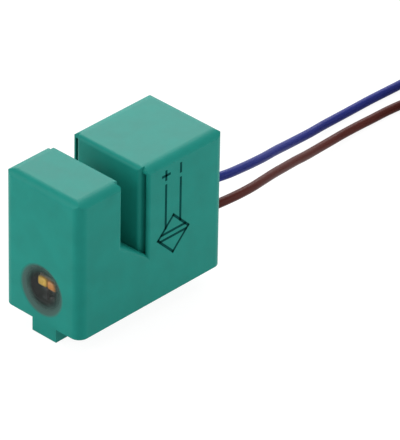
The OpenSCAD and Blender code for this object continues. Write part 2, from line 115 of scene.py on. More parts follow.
class LeadSettings(bpy.types.PropertyGroup):
    """The two leads and their stored coils."""

    diameter: FloatProperty(
        name="Diameter", description="Diameter over the insulation", default=1.2 * MM, unit="LENGTH")
    length: FloatProperty(
        name="Length", description="Real length of each lead", default=0.5, unit="LENGTH")
    columns: IntProperty(
        name="Columns", description="Turns side by side in a stored coil", default=4)
    mid_diameter: FloatProperty(
        name="Coil diameter", description="Diameter of a coil at the middle of its turns",
        default=13.2 * MM, unit="LENGTH")
    end_turn: FloatProperty(
        name="Turns", description="Turns from where a lead enters its coil to its end",
        default=10 + 130 / 360)
    strand_diameter: FloatProperty(
        name="Conductor", description="Diameter over a lead's bare strands", default=0.5 * MM, unit="LENGTH")
    strand_length: FloatProperty(
        name="Bare end", description="Length of the bare strands", default=6 * MM, unit="LENGTH")
    blue: FloatVectorProperty(
        name="Blue", description="Colour of the blue insulation",
        default=(0.016, 0.024, 0.17), subtype="COLOR")
    brown: FloatVectorProperty(
        name="Brown", description="Colour of the brown insulation",
        default=(0.07, 0.014, 0.01), subtype="COLOR")


class HousingSettings(bpy.types.PropertyGroup):
    """Finish of the moulded housing and its print."""

    green: FloatVectorProperty(
        name="Green", description="Colour of the moulding", default=(0.011, 0.235, 0.192), subtype="COLOR")
    ink: FloatVectorProperty(
        name="Ink", description="Colour of the print", default=(0.0008, 0.056, 0.05), subtype="COLOR")
    roughness: FloatProperty(
        name="Roughness", description="Roughness of the satin surface", default=0.42, subtype="FACTOR")
    grain: FloatProperty(
        name="Grain", description="Size of the moulded grain", default=0.07 * MM, unit="LENGTH")
    line: FloatProperty(
        name="Line width", description="Width of the printed lines", default=0.34 * MM, unit="LENGTH")


class WindowSettings(bpy.types.PropertyGroup):
    """Cast resin window and the status lamp behind it."""

    recess: FloatProperty(
        name="Recess", description="Depth of the resin below the window face",
        default=0.1 * MM, unit="LENGTH")
    rise: FloatProperty(
        name="Rise", description="How far the resin climbs at its border", default=0.08 * MM, unit="LENGTH")
    border: FloatProperty(
        name="Border", description="Width of the hazy border", default=2.0 * MM, unit="LENGTH")
    blur: FloatProperty(
        name="Blur", description="Roughness of the resin in the window's middle",
        default=0.2, subtype="FACTOR")
    tint: FloatVectorProperty(
        name="Tint", description="Tint of the resin", default=(0.68, 0.71, 0.66), subtype="COLOR")
    # The haze and rim colours paint a reflection of the green wall into the resin's real haze
    haze_and_wall_reflection: FloatVectorProperty(
        name="Haze", description="Colour of the resin's hazy part",
        default=(0.05, 0.082, 0.074), subtype="COLOR")
    rim: FloatVectorProperty(
        name="Rim", description="Colour of the resin near its border",
        default=(0.055, 0.115, 0.1), subtype="COLOR")
    yellow: FloatVectorProperty(
        name="Yellow", description="Colour of the lamp's yellow half",
        default=(0.66, 0.4, 0.06), subtype="COLOR")
    orange: FloatVectorProperty(
        name="Orange", description="Colour of the lamp's orange half",
        default=(0.5, 0.19, 0.03), subtype="COLOR")


class StageSettings(bpy.types.PropertyGroup):
    """Floor and lights."""

    left: FloatProperty(
        name="Left light", description="Power of the light on the window face", default=1.26, unit="POWER")
    right: FloatProperty(
        name="Right light", description="Power of the light on the side face", default=0.97, unit="POWER")
    back: FloatProperty(
        name="Back light", description="Power of the light behind and above", default=2.15, unit="POWER")
    top: FloatProperty(
        name="Top light", description="Power of the light overhead", default=0.6, unit="POWER")
    front: FloatProperty(
        name="Front light", description="Power of the weak light into the slot", default=0.33, unit="POWER")
    ambient: FloatProperty(
        name="Ambient", description="Strength of the light from all round", default=0.4)


class SensorSettings(bpy.types.PropertyGroup):
    """All settings of the fork sensor."""

    camera: PointerProperty(type=CameraSettings)
    leads: PointerProperty(type=LeadSettings)
    housing: PointerProperty(type=HousingSettings)
    window: PointerProperty(type=WindowSettings)
    stage: PointerProperty(type=StageSettings)


# Node helpers

def node(tree, kind, inputs=None, **settings):
    """A node with its settings, and with inputs that are values or other nodes' sockets."""
    made = tree.nodes.new(kind)
    for name, value in settings.items():
        setattr(made, name, value)
    for name, value in (inputs or {}).items():
        if isinstance(value, bpy.types.NodeSocket):
            tree.links.new(value, made.inputs[name])
        else:
            made.inputs[name].default_value = value
    return made


def mixed(tree, factor, low, high):
    """Colour between low and high by a factor socket."""
    mix = node(tree, "ShaderNodeMix", data_type="RGBA")
    tree.links.new(factor, mix.inputs[0])
    # A Mix node has a pair of inputs for each kind of value, and the colours are 6 and 7
    for socket, colour in ((mix.inputs[6], low), (mix.inputs[7], high)):
        socket.default_value = (*colour, 1)
    return mix.outputs[2]


def ramp(tree, factor, stops):
    """Colour along a row of stops, each a place and a colour, by a factor socket."""
    made = node(tree, "ShaderNodeValToRGB", {"Fac": factor})
    elements = made.color_ramp.elements
    for index, (place, colour) in enumerate(stops):
        stop = elements[index] if index < 2 else elements.new(place)
        stop.position, stop.color = place, (*colour, 1)
    return made.outputs["Color"]


def math_node(tree, operation, first, second):
    """Result of one sum on two sockets or numbers."""
    return node(tree, "ShaderNodeMath", {0: first, 1: second}, operation=operation).outputs[0]


def scaled(colour, factor):
    """A colour made darker or lighter."""
    return tuple(channel * factor for channel in colour)


def new_material(name):
    """An empty node material with one Principled shader."""
    material = bpy.data.materials.new(name)
    material.use_nodes = True
    return material, material.node_tree, material.node_tree.nodes["Principled BSDF"]


def group_tree(name, inputs, outputs):
    """An empty shader node group with float sockets, and its input and output nodes."""
    tree = bpy.data.node_groups.new(name, "ShaderNodeTree")
    for label in inputs:
        tree.interface.new_socket(label, in_out="INPUT", socket_type="NodeSocketFloat")
    for label in outputs:
        tree.interface.new_socket(label, in_out="OUTPUT", socket_type="NodeSocketFloat")
    return tree, node(tree, "NodeGroupInput"), node(tree, "NodeGroupOutput")


def moulded_surface_group():
    """Shared surface of moulded and drawn pieces: broad tone, uneven gloss and fine grain."""
    name = "moulded_surface"
    if name in bpy.data.node_groups:
        return bpy.data.node_groups[name]
    tree, given, result = group_tree(
        name, ("Grain Size", "Broad Size", "Roughness", "Roughness Spread"), ("Tone", "Roughness", "Height"))
    place = node(tree, "ShaderNodeTexCoord").outputs["Object"]

    def noise(size, detail):
        scale = math_node(tree, "DIVIDE", 1.0, size)
        made = node(tree, "ShaderNodeTexNoise", {"Vector": place, "Scale": scale, "Detail": detail})
        return made.outputs["Fac"]

    fine = noise(given.outputs["Grain Size"], 3.0)
    broad = noise(given.outputs["Broad Size"], 4.0)
    tone = node(tree, "ShaderNodeMapRange", {"Value": broad, "From Min": 0.3, "From Max": 0.7})
    swing = math_node(tree, "SUBTRACT", broad, 0.5)
    spread = math_node(tree, "MULTIPLY", swing, given.outputs["Roughness Spread"])
    roughness = math_node(tree, "ADD", given.outputs["Roughness"], spread)
    tree.links.new(tone.outputs["Result"], result.inputs["Tone"])
    tree.links.new(roughness, result.inputs["Roughness"])
    tree.links.new(fine, result.inputs["Height"])
    return tree


def moulded(name, colour, roughness, grain,
            broad=3 * MM, spread=0.1, relief=0.004 * MM, swing=0.06, level=0.3):
    """Plastic, resin or ceramic with fine grain, uneven gloss and a slight drift of tone."""
    material, tree, shader = new_material(name)
    surface = node(
        tree, "ShaderNodeGroup",
        {"Grain Size": grain, "Broad Size": broad, "Roughness": roughness, "Roughness Spread": spread},
        node_tree=moulded_surface_group())
    tint = mixed(tree, surface.outputs["Tone"], scaled(colour, 1 - swing), scaled(colour, 1 + swing))
    tree.links.new(tint, shader.inputs["Base Color"])
    tree.links.new(surface.outputs["Roughness"], shader.inputs["Roughness"])
    bump = node(
        tree, "ShaderNodeBump", {"Distance": relief, "Strength": 0.6, "Height": surface.outputs["Height"]})
    tree.links.new(bump.outputs["Normal"], shader.inputs["Normal"])
    shader.inputs["Specular IOR Level"].default_value = level
    return material


def metal(name, colour, roughness, grain):
    """Bare metal with fine tool marks."""
    material = moulded(name, colour, roughness, grain, broad=1 * MM, spread=0.2, relief=0.002 * MM)
    material.node_tree.nodes["Principled BSDF"].inputs["Metallic"].default_value = 1.0
    return material


def shared_material(name, make):
    """A material that several pieces share, made once."""
    return bpy.data.materials.get(name) or make()


def tinned_wire():
    """Tinned copper wire."""
    return shared_material("tinned_wire", lambda: metal("tinned_wire", (0.62, 0.62, 0.6), 0.3, 0.05 * MM))


# Mesh helpers

def mesh_object(name, points, faces, materials, smooth_angle=None):
    """A mesh object at the origin, with its place in its mesh."""
    mesh = bpy.data.meshes.new(name)
    mesh.from_pydata([tuple(point) for point in points], [], faces)
    return finished_object(name, mesh, materials, smooth_angle)


def finished_object(name, mesh, materials, smooth_angle=None):
    """An object for a mesh, with its materials and its shading."""
    for material in materials:
        mesh.materials.append(material)
    mesh.validate()
    if smooth_angle is not None:
        mesh.shade_smooth()
        mesh.set_sharp_from_angle(angle=smooth_angle)
    made = bpy.data.objects.new(name, mesh)
    bpy.context.scene.collection.objects.link(made)
    return made


def fitted(piece, slot, *nodes):
    """A piece that rides on the sensor and stands for CAD nodes, which it hides. The slot it is given is not
    used.
    """
    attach(piece, "root")
    if nodes:
        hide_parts(*nodes)
    return piece


def dress(material, *names):
    """Gives CAD nodes a material."""
    for name in names:
        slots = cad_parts[name].data.materials
        slots.clear()
        slots.append(material)


def soft_block(into, low, high, edge, segments=2, material=0):
    """Adds a box with rounded edges to a bmesh."""
    low, high = Vector(low), Vector(high)
    size = high - low
    place = Matrix.Translation((low + high) / 2) @ Matrix.Diagonal((*size, 1))
    corners = bmesh.ops.create_cube(into, size=1.0, matrix=place)["verts"]
    edges = {side for corner in corners for side in corner.link_edges}
    rounded = bmesh.ops.bevel(
        into, geom=list(edges), offset=edge, segments=segments, profile=0.5, affect="EDGES")
    faces = {face for corner in rounded["verts"] for face in corner.link_faces}
    for face in faces:
        face.material_index = material
        face.smooth = True


def bmesh_object(name, source, materials, smooth_angle=math.radians(40)):
    """An object from a finished bmesh."""
    mesh = bpy.data.meshes.new(name)
    source.to_mesh(mesh)
    source.free()
    return finished_object(name, mesh, materials, smooth_angle)


def band_faces(rings, sides, endless=False):
    """Faces between the rings of a tube, with caps at its ends unless it runs back into itself."""
    faces = []
    for ring in range(rings if endless else rings - 1):
        following = (ring + 1) % rings
        for side in range(sides):
            ahead = (side + 1) % sides
            faces.append((ring * sides + side, ring * sides + ahead,
                          following * sides + ahead, following * sides + side))
    if not endless:
        faces += [tuple(reversed(range(sides))), tuple(range((rings - 1) * sides, rings * sides))]
    return faces


def lathe(rings, sides, place):
    """Points and faces of a turned shape, closed at both ends. A ring is (radius, height), and its radius may
    be a function of the angle."""
    points = []
    for radius, height in rings:
        for side in range(sides):
            angle = 2 * math.pi * side / sides
            reach = radius(angle) if callable(radius) else radius
            points.append(place @ Vector((reach * math.cos(angle), reach * math.sin(angle), height)))
    return points, band_faces(len(rings), sides)


def smooth_step(value):
    """Eased step from 0 to 1."""
    clipped = min(max(value, 0.0), 1.0)
    return clipped * clipped * (3 - 2 * clipped)


# Camera

class SENSOR_OT_camera(bpy.types.Operator):
    """Set up the camera at the picture's viewing angle"""

    bl_idname = "sensor.camera"
    bl_label = "Camera"

    def execute(self, context):
        settings = context.scene.fork_sensor.camera
        level = math.cos(settings.elevation)
        towards = Vector((math.sin(settings.azimuth) * level, -math.cos(settings.azimuth) * level,
                          math.sin(settings.elevation)))
        middle = Vector((0, 0, HOUSING_HIGH.z / 2))
        eye = middle + towards * settings.distance
        right, up = picture_axes(-towards, settings.roll)
        aim = middle + right * settings.aim_right - up * settings.aim_down
        sight = (aim - eye).normalized()
        right, up = picture_axes(sight, settings.roll)
        data = bpy.data.cameras.new("camera")
        data.lens = settings.lens
        data.clip_start, data.clip_end = 0.01, 10.0
        camera = bpy.data.objects.new("camera", data)
        turn = Matrix((right, up, -sight)).transposed().to_4x4()
        camera.matrix_world = Matrix.Translation(eye) @ turn
        context.scene.collection.objects.link(camera)
        context.scene.camera = camera
        return {"FINISHED"}


def picture_axes(sight, roll):
    """Right and up directions of a picture taken along a line of sight."""
    level = sight.cross(Vector((0, 0, 1))).normalized()
    upright = level.cross(sight)
    right = level * math.cos(roll) + upright * math.sin(roll)
    return right, upright * math.cos(roll) - level * math.sin(roll)


# Leads

# Where in each turn of a coil, in degrees from the lead's way in, the lead moves over or climbs
OUTER_SHIFT = (170, 240)
CLIMB_TO_SECOND = (110, 170)
INNER_SHIFT = (40, 110)
CLIMB_TO_THIRD = (0, 40)
LAST_SHIFT = (-60, 0)
TIE_PLACE = 270
# The turns rise over a tie's strap within so many degrees of it, and the rise ends so many spans away
TIE_LIFT_SPAN = 34
TIE_LIFT_END = 1.3
COIL_HALF = 2.4 * MM
COIL_STEP = 6
ROUTE_STEPS = 4
LEAD_SIDES = 14
OUTER_STRANDS = 6
STRAND_PITCH = 5 * MM
STRAND_STEPS = 24
STRAND_SIDES = 10


def coil_point(centre, degrees, leads):
    """Point of a stored coil, so many degrees of turn after the lead enters it."""
    width = leads.diameter
    outer = leads.mid_diameter / 2 + (leads.columns - 1) * width / 2

    def steps(window, turns):
        start, end = window
        return sum(smooth_step((degrees - 360 * turn - start) / (end - start)) for turn in turns)

    over = (-steps(OUTER_SHIFT, range(0, 3)) + steps(INNER_SHIFT, range(4, 7))
            - steps(LAST_SHIFT, range(8, 11)))
    up = steps(CLIMB_TO_SECOND, (3,)) + steps(CLIMB_TO_THIRD, (7,))
    to_tie = abs(degrees % 360 - TIE_PLACE) / TIE_LIFT_SPAN
    lift = tie_thickness() * smooth_step(TIE_LIFT_END - to_tie)
    radius = outer + over * width
    angle = math.radians(90 - degrees)
    return Vector((centre.x + radius * math.cos(angle), centre.y + radius * math.sin(angle),
                   FLOOR_Z + width / 2 + up * width + lift))


def tie_thickness():
    """Thickness of a coil's tie, which fits round the width of the turns."""
    return (TIE_HIGH.x - TIE_LOW.x) / 2 - COIL_HALF


def coil_centre(route, leads):
    """Middle of the coil that a route enters along +X as its outermost turn."""
    entry = Vector(route[-1]) * MM
    outer = leads.mid_diameter / 2 + (leads.columns - 1) * leads.diameter / 2
    return Vector((entry.x, entry.y - outer, FLOOR_Z))


def smooth_route(route):
    """Route points in metres with a smooth curve through them."""
    points = [Vector(point) * MM for point in route]
    padded = [2 * points[0] - points[1], *points, 2 * points[-1] - points[-2]]
    curve = []
    for index in range(1, len(padded) - 2):
        before, start, end, after = padded[index - 1:index + 3]
        for step in range(ROUTE_STEPS):
            t = step / ROUTE_STEPS
            curve.append(0.5 * (2 * start + (end - before) * t
                                + (2 * before - 5 * start + 4 * end - after) * t ** 2
                                + (3 * start - before - 3 * end + after) * t ** 3))
    return curve


def lead_path(route, leads):
    """Middle line of a lead, from inside the lead face to its end in the coil."""
    centre = coil_centre(route, leads)
    last = leads.end_turn * 360
    count = round(last / COIL_STEP)
    return smooth_route(route) + [coil_point(centre, last * step / count, leads) for step in range(count + 1)]


def headings(path):
    """Direction of a path at each of its points."""
    last = len(path) - 1
    return [(path[min(index + 1, last)] - path[max(index - 1, 0)]).normalized() for index in range(len(path))]


def tube_mesh(name, path, diameter, sides):
    """Closed round tube along a path, with a UV map that runs round and along it in diameters."""
    ahead = headings(path)
    across = Vector((0, 0, 1)).cross(ahead[0]).normalized()
    points, run, along = [], 0.0, []
    for index, middle in enumerate(path):
        across = (across - ahead[index] * across.dot(ahead[index])).normalized()
        rise = ahead[index].cross(across)
        run += (middle - path[index - 1]).length if index else 0.0
        along.append(run / diameter)
        for side in range(sides):
            angle = 2 * math.pi * side / sides
            points.append(middle + diameter / 2 * (math.cos(angle) * across + math.sin(angle) * rise))
    mesh = bpy.data.meshes.new(name)
    mesh.from_pydata([tuple(point) for point in points], [], band_faces(len(path), sides))
    wrap = mesh.uv_layers.new(name="wrap").data
    for face in mesh.polygons:
        seam = len(face.vertices) == 4 and max(vertex % sides for vertex in face.vertices) == sides - 1
        for corner in face.loop_indices:
            vertex = mesh.loops[corner].vertex_index
            side = vertex % sides
            round_share = 1.0 if seam and side == 0 else side / sides
            wrap[corner].uv = (round_share, along[vertex // sides])
    return mesh


def make_lead(name, route, material, slot, leads, nodes):
    """One lead, wound into its stored coil."""
    path = lead_path(route, leads)
    mesh = tube_mesh(name, path, leads.diameter, LEAD_SIDES)
    lead = fitted(finished_object(name, mesh, [material], math.radians(50)), slot, *nodes)
    return lead


class SENSOR_OT_leads(bpy.types.Operator):
    """Make the two leads with their stored coils and bare ends"""

    bl_idname = "sensor.leads"
    bl_label = "Leads"

    def execute(self, context):
        leads = context.scene.fork_sensor.leads
        for colour, route, shade in (("blue", BLUE_ROUTE, leads.blue), ("brown", BROWN_ROUTE, leads.brown)):
            insulation = moulded(
                f"{colour}_insulation", shade, 0.38, 0.12 * MM,
                broad=6 * MM, spread=0.08, swing=0.08, level=0.06)
            strands = make_strands(f"{colour}_bare_end", route, leads)
            fitted(strands, "tinned_wire", f"{colour}_strands")
            tie = make_tie(f"{colour}_coil_tie", route, leads)
            fitted(tie, "tie_plastic", f"{colour}_tie")
            make_lead(
                f"{colour}_cord", route, insulation, f"{colour}_insulation", leads,
                (f"{colour}_lead", f"{colour}_coil"))
        return {"FINISHED"}


def growing_tree(name, inputs):
    """An empty geometry node tree with named inputs, and its input and output nodes."""
    tree = bpy.data.node_groups.new(name, "GeometryNodeTree")
    for label, kind in (("Geometry", "Geometry"), *inputs):
        tree.interface.new_socket(label, in_out="INPUT", socket_type=f"NodeSocket{kind}")
    tree.interface.new_socket("Geometry", in_out="OUTPUT", socket_type="NodeSocketGeometry")
    return tree, node(tree, "NodeGroupInput"), node(tree, "NodeGroupOutput")


def strand_tree():
    """Geometry nodes that twist fine strands round a path."""
    name = "twisted_strands"
    if name in bpy.data.node_groups:
        return bpy.data.node_groups[name]
    tree, given, result = growing_tree(name, (
        ("Outer Strands", "Int"), ("Strand Radius", "Float"), ("Lay Radius", "Float"), ("Twist", "Float"),
        ("Material", "Material")))
    curve = node(tree, "GeometryNodeMeshToCurve", {"Mesh": given.outputs["Geometry"]})
    copies = node(
        tree, "GeometryNodeDuplicateElements",
        {"Geometry": curve.outputs["Curve"], "Amount": given.outputs["Outer Strands"]}, domain="SPLINE")
    share = math_node(tree, "DIVIDE", copies.outputs["Duplicate Index"], given.outputs["Outer Strands"])
    start = math_node(tree, "MULTIPLY", share, 2 * math.pi)
    run = node(tree, "GeometryNodeSplineParameter").outputs["Length"]
    angle = math_node(tree, "ADD", start, math_node(tree, "MULTIPLY", run, given.outputs["Twist"]))
    normal = node(tree, "GeometryNodeInputNormal").outputs["Normal"]
    tangent = node(tree, "GeometryNodeInputTangent").outputs["Tangent"]
    turned = node(
        tree, "ShaderNodeVectorRotate", {"Vector": normal, "Axis": tangent, "Angle": angle},
        rotation_type="AXIS_ANGLE")
    offset = node(tree, "ShaderNodeVectorMath", {0: turned.outputs["Vector"]}, operation="SCALE")
    tree.links.new(given.outputs["Lay Radius"], offset.inputs["Scale"])
    laid = node(
        tree, "GeometryNodeSetPosition",
        {"Geometry": copies.outputs["Geometry"], "Offset": offset.outputs["Vector"]})
    bundle = node(tree, "GeometryNodeJoinGeometry")
    tree.links.new(laid.outputs["Geometry"], bundle.inputs["Geometry"])
    tree.links.new(curve.outputs["Curve"], bundle.inputs["Geometry"])
    section = node(
        tree, "GeometryNodeCurvePrimitiveCircle",
        {"Resolution": STRAND_SIDES, "Radius": given.outputs["Strand Radius"]})
    solid = node(
        tree, "GeometryNodeCurveToMesh",
        {"Curve": bundle.outputs["Geometry"], "Profile Curve": section.outputs["Curve"], "Fill Caps": True})
    plain = node(tree, "GeometryNodeRealizeInstances", {"Geometry": solid.outputs["Mesh"]})
    coated = node(
        tree, "GeometryNodeSetMaterial",
        {"Geometry": plain.outputs["Geometry"], "Material": given.outputs["Material"]})
    tree.links.new(coated.outputs["Geometry"], result.inputs["Geometry"])
    return tree


def grown(name, mesh, tree, values, smooth_angle):
    """A plain mesh object that a geometry node tree grows from a mesh."""
    seed = bpy.data.objects.new(f"{name}_seed", mesh)
    bpy.context.scene.collection.objects.link(seed)
    modifier = seed.modifiers.new("grow", "NODES")
    modifier.node_group = tree
    for item in tree.interface.items_tree:
        if item.in_out == "INPUT" and item.name in values:
            modifier[item.identifier] = values[item.name]
    evaluated = seed.evaluated_get(bpy.context.evaluated_depsgraph_get())
    result = bpy.data.meshes.new_from_object(evaluated)
    result.name = name
    bpy.data.objects.remove(seed)
    if not result.polygons:
        raise RuntimeError(f"{name} came out empty")
    return finished_object(name, result, [], smooth_angle)


def make_strands(name, route, leads):
    """Bare strands at the end of a lead, one in the middle and six twisted round it."""
    centre = coil_centre(route, leads)
    last = leads.end_turn * 360
    radius = (coil_point(centre, last, leads) - centre).to_2d().length
    sweep = math.degrees(leads.strand_length / radius)
    shares = [step / STRAND_STEPS for step in range(STRAND_STEPS + 1)]
    path = [coil_point(centre, last + sweep * share, leads) for share in shares]
    mesh = bpy.data.meshes.new(f"{name}_path")
    edges = [(step, step + 1) for step in range(STRAND_STEPS)]
    mesh.from_pydata([tuple(point) for point in path], edges, [])
    strand = leads.strand_diameter / 6
    return grown(
        name, mesh, strand_tree(),
        {"Outer Strands": OUTER_STRANDS, "Strand Radius": strand, "Lay Radius": 2 * strand,
         "Twist": 2 * math.pi / STRAND_PITCH, "Material": tinned_wire()}, math.radians(50))


TIE_CORNER = 0.5 * MM
TIE_CORNER_STEPS = 4
# Half lengths of the tie's head and tail along the strap, and how high the head and the tail stand over it
TIE_HEAD_REACH = 0.9 * MM
TIE_HEAD_HEIGHT = 0.8 * MM
TIE_TAIL_BACK = 1.8 * MM
TIE_TAIL_AHEAD = 1.5 * MM
TIE_TAIL_RISE = 0.15 * MM
# Widths of the head and the tail as shares of the strap's
TIE_HEAD_SHARE = 1.35
TIE_TAIL_SHARE = 0.9


def make_tie(name, route, leads):
    """Nylon tie round a coil: a strap, its head and a cut tail."""
    nylon = shared_material(
        "tie_nylon",
        lambda: moulded("tie_nylon", (0.68, 0.68, 0.65), 0.4, 0.1 * MM, broad=2 * MM, swing=0.04, level=0.4))
    middle = coil_centre(route, leads) + Vector((-leads.mid_diameter / 2, 0, 0))
    thick = tie_thickness()
    half = (TIE_HIGH.x - TIE_LOW.x) / 2 - thick / 2
    wide = (TIE_HIGH.y - TIE_LOW.y) / 2
    low, high = FLOOR_Z + thick / 2, TIE_HIGH.z + thick / 2
    loop = []
    for corner, (across, height) in enumerate(((1, 1), (-1, 1), (-1, -1), (1, -1))):
        pivot_x = across * (half - TIE_CORNER)
        pivot_z = (high - TIE_CORNER) if height > 0 else (low + TIE_CORNER)
        for step in range(TIE_CORNER_STEPS + 1):
            angle = math.radians(90 * (corner + step / TIE_CORNER_STEPS))
            loop.append((pivot_x, pivot_z, math.cos(angle), math.sin(angle)))
    points = []
    for pivot_x, pivot_z, out_x, out_z in loop:
        for reach, side in ((TIE_CORNER + thick / 2, -1), (TIE_CORNER + thick / 2, 1),
                            (TIE_CORNER - thick / 2, 1), (TIE_CORNER - thick / 2, -1)):
            points.append(Vector((middle.x + pivot_x + out_x * reach, middle.y + side * wide,
                                  pivot_z + out_z * reach)))
    strap = bmesh.new()
    corners = [strap.verts.new(point) for point in points]
    for face in band_faces(len(loop), 4, endless=True):
        strap.faces.new([corners[index] for index in face])
    bmesh.ops.recalc_face_normals(strap, faces=strap.faces)
    top = high + thick / 2
    head, tail = TIE_HEAD_SHARE * wide, TIE_TAIL_SHARE * wide
    soft_block(strap, (middle.x - TIE_HEAD_REACH, middle.y - head, top - thick),
               (middle.x + TIE_HEAD_REACH, middle.y + head, top + TIE_HEAD_HEIGHT), 0.2 * MM)
    soft_block(strap, (middle.x - TIE_TAIL_BACK, middle.y - tail, top + TIE_TAIL_RISE),
               (middle.x + TIE_TAIL_AHEAD, middle.y + tail, top + TIE_TAIL_RISE + thick), 0.1 * MM)
    return bmesh_object(name, strap, [nylon])


# Housing and print

class SENSOR_OT_housing(bpy.types.Operator):
    """Finish the housing and base cover, and print the wiring symbol"""

    bl_idname = "sensor.housing"
    bl_label = "Housing"

    def execute(self, context):
        look = context.scene.fork_sensor.housing
        green = moulded("moulded_green", look.green, look.roughness, look.grain, level=0.09)
        dress(green, "housing", "base_cover")
        ink = moulded("print_ink", look.ink, 0.65, look.grain, broad=1 * MM, swing=0.15, level=0.03)
        fitted(make_print("wiring_symbol", ink, look), "housing_green")
        return {"FINISHED"}


# Wiring symbol on the side face, as distances from the slot's rear edge and heights, in millimetres
PRINT_PLUS = (3.45, 17.0)
PRINT_MINUS = (5.95, 17.05)
PRINT_MARK = 0.56
PRINT_LINE_TOP = 15.6
PRINT_DIAMOND = (4.77, 8.3)
PRINT_DIAMOND_REACH = 2.6
PRINT_STRIPES = (-0.3, 0.5)
PRINT_STRIPE_GAP = 0.1
PRINT_SINK = 0.01 * MM
PRINT_PROUD = 0.012 * MM
SLOT_REAR_X = -1.2


def make_print(name, ink, look):
    """Printed wiring symbol: plus and minus, their lines and the proximity switch's diamond."""
    made = bmesh.new()
    width = look.line

    def stroke(start, end):
        first, last = Vector(start) * MM, Vector(end) * MM
        run = (last - first).normalized() * width / 2
        side = Vector((-run.y, run.x))
        outline = [first - run - side, last + run - side, last + run + side, first - run + side]
        face = HOUSING_LOW.y
        ring = []
        for depth in (PRINT_SINK, -PRINT_PROUD):
            places = [(SLOT_REAR_X * MM + spot.x, face + depth, spot.y) for spot in outline]
            ring.append([made.verts.new(place) for place in places])
        made.faces.new(ring[1])
        made.faces.new(reversed(ring[0]))
        for index in range(4):
            ahead = (index + 1) % 4
            made.faces.new((ring[0][index], ring[0][ahead], ring[1][ahead], ring[1][index]))

    plus_x, plus_z = PRINT_PLUS
    minus_x, minus_z = PRINT_MINUS
    middle_x, middle_z = PRINT_DIAMOND
    reach = PRINT_DIAMOND_REACH
    stroke((plus_x - PRINT_MARK, plus_z), (plus_x + PRINT_MARK, plus_z))
    stroke((plus_x, plus_z - PRINT_MARK), (plus_x, plus_z + PRINT_MARK))
    stroke((minus_x, minus_z - PRINT_MARK), (minus_x, minus_z + PRINT_MARK))
    for line_x in (plus_x, minus_x):
        stroke((line_x, PRINT_LINE_TOP), (line_x, middle_z + reach - abs(line_x - middle_x)))
    tips = [(middle_x + reach, middle_z), (middle_x, middle_z + reach),
            (middle_x - reach, middle_z), (middle_x, middle_z - reach)]
    for index in range(4):
        stroke(tips[index], tips[(index + 1) % 4])
    for height in PRINT_STRIPES:
        half = reach - abs(height) - PRINT_STRIPE_GAP
        stroke((middle_x - half, middle_z + height), (middle_x + half, middle_z + height))
    bmesh.ops.recalc_face_normals(made, faces=made.faces)
    return bmesh_object(name, made, [ink], None)


# Window and lamp

LENS_SINK = 0.03 * MM
LENS_SIDES = 96
# Rings of the dish's flat middle as shares of its radius, and the rings of its climb to the border
DISH_MIDDLE = (0.02, 0.3, 0.45)
DISH_STEPS = 8
HAZE_GAP = 0.004 * MM
HAZE_THICKNESS = 0.008 * MM
# How much thicker the haze and its painted reflection of the green wall are at the window's left and lower
# edges
HAZE_AND_REFLECTION_LEFT = 0.16
HAZE_AND_REFLECTION_LOW = 0.3
HAZE_AND_REFLECTION_FULL = 0.85
RESIN_IOR = 1.25
RIPPLE_SIZE = 1.2 * MM
RIPPLE_RELIEF = 0.02 * MM
# The lamp's pale base, the step from it to its domes, and the gap between the domes
LAMP_BASE = 0.4 * MM
LAMP_INSET = 0.08 * MM
LAMP_GAP = 0.1 * MM
LAMP_SINK = 0.05 * MM


class SENSOR_OT_window(bpy.types.Operator):
    """Cast the window's resin and fit the status lamp behind it"""

    bl_idname = "sensor.window"
    bl_label = "Window"

    def execute(self, context):
        look = context.scene.fork_sensor.window
        green = context.scene.fork_sensor.housing.green
        lens = fitted(make_lens("window_resin", clear_resin(look), look), "clear_resin", "window_lens")
        # The skin over the resin holds its haze and a painted reflection of the green wall
        haze_and_wall_reflection = fitted(make_haze_and_wall_reflection("window_haze", resin_haze(look, green), look), "clear_resin")
        for piece in (lens, haze_and_wall_reflection):
            piece.visible_shadow = False
        fitted(make_lamp("status_lamp", look), "lamp", "status_led")
        return {"FINISHED"}


def clear_resin(look):
    """Clear cast resin with a faintly uneven surface."""
    material, tree, shader = new_material("clear_resin")
    shader.inputs["Base Color"].default_value = (*look.tint, 1)
    shader.inputs["Roughness"].default_value = look.blur
    shader.inputs["Transmission Weight"].default_value = 1.0
    shader.inputs["IOR"].default_value = RESIN_IOR
    place = node(tree, "ShaderNodeTexCoord").outputs["Object"]
    ripple = node(tree, "ShaderNodeTexNoise", {"Vector": place, "Scale": 1 / RIPPLE_SIZE, "Detail": 2.0})
    bump = node(
        tree, "ShaderNodeBump", {"Distance": RIPPLE_RELIEF, "Strength": 0.5, "Height": ripple.outputs["Fac"]})
    tree.links.new(bump.outputs["Normal"], shader.inputs["Normal"])
    return material


